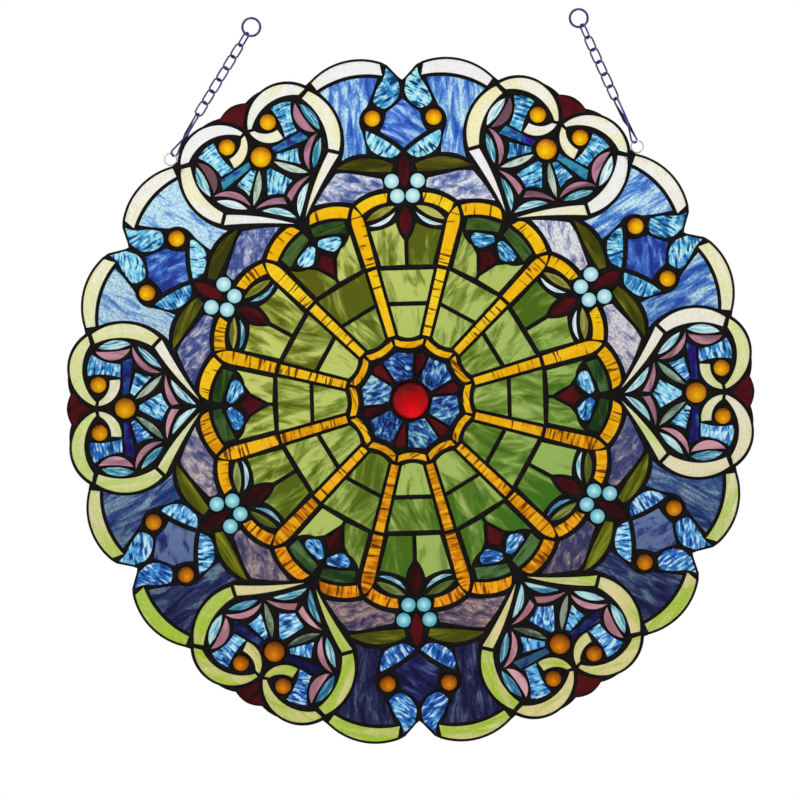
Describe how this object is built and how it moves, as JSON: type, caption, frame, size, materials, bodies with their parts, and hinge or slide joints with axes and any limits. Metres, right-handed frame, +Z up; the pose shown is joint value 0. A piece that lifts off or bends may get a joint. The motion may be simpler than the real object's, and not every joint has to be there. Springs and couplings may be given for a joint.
{
  "type": "stained glass panel",
  "caption": "Round scalloped stained glass window panel of hearts and palmettes in soldered coloured glass with domed jewels, hung from two short chains.",
  "frame": {"origin": "midway between the panel sides, at the height where the hooks bear inside the top rings", "axes": "+Z up, +X to the right seen from the front, the domed front of the panel looks along -Y"},
  "size_m": [0.6144, 0.0146, 0.6512],
  "materials": {
    "solder": "soldered beads with a black patina, satin",
    "chain": "dark plated steel wire, satin",
    "jewel_glass": "pressed domed glass, glossy",
    "rosette_glass": "streaky sheet glass, glossy",
    "green_glass": "streaky opalescent sheet glass",
    "amber_glass": "rippled sheet glass, glossy",
    "cream_glass": "opalescent sheet glass",
    "web_glass": "rippled and streaky sheet glass",
    "ground_glass": "mottled opalescent sheet glass",
    "palmette_glass": "rippled sheet glass with domed pieces"
  },
  "bodies": {
    "root": {"solder_lines": "solder", "centre_jewel": "jewel_glass", "rosette_upper": "rosette_glass", "rosette_lower": "rosette_glass", "fan_heart_1": "green_glass", "fan_heart_2": "green_glass", "fan_heart_3": "green_glass", "fan_heart_4": "green_glass", "fan_heart_5": "green_glass", "fan_heart_6": "green_glass", "fan_palmette_1": "green_glass", "fan_palmette_2": "green_glass", "fan_palmette_3": "green_glass", "fan_palmette_4": "green_glass", "fan_palmette_5": "green_glass", "fan_palmette_6": "green_glass", "amber_tracery_1": "amber_glass", "amber_tracery_2": "amber_glass", "amber_tracery_3": "amber_glass", "amber_tracery_4": "amber_glass", "amber_tracery_5": "amber_glass", "amber_tracery_6": "amber_glass", "heart_scroll_1": "cream_glass", "heart_scroll_2": "cream_glass", "heart_scroll_3": "cream_glass", "heart_scroll_4": "cream_glass", "heart_scroll_5": "cream_glass", "heart_scroll_6": "cream_glass", "heart_web_1": "web_glass", "heart_web_2": "web_glass", "heart_web_3": "web_glass", "heart_web_4": "web_glass", "heart_web_5": "web_glass", "heart_web_6": "web_glass", "ground_before_1": "ground_glass", "ground_before_2": "ground_glass", "ground_before_3": "ground_glass", "ground_before_4": "ground_glass", "ground_before_5": "ground_glass", "ground_before_6": "ground_glass", "ground_after_1": "ground_glass", "ground_after_2": "ground_glass", "ground_after_3": "ground_glass", "ground_after_4": "ground_glass", "ground_after_5": "ground_glass", "ground_after_6": "ground_glass", "palmette_1": "palmette_glass", "palmette_2": "palmette_glass", "palmette_3": "palmette_glass", "palmette_4": "palmette_glass", "palmette_5": "palmette_glass", "palmette_6": "palmette_glass", "loop_left": "solder", "hook_left": "chain", "chain_left": "chain", "top_ring_left": "chain", "loop_right": "solder", "hook_right": "chain", "chain_right": "chain", "top_ring_right": "chain"}
  },
  "joints": []
}
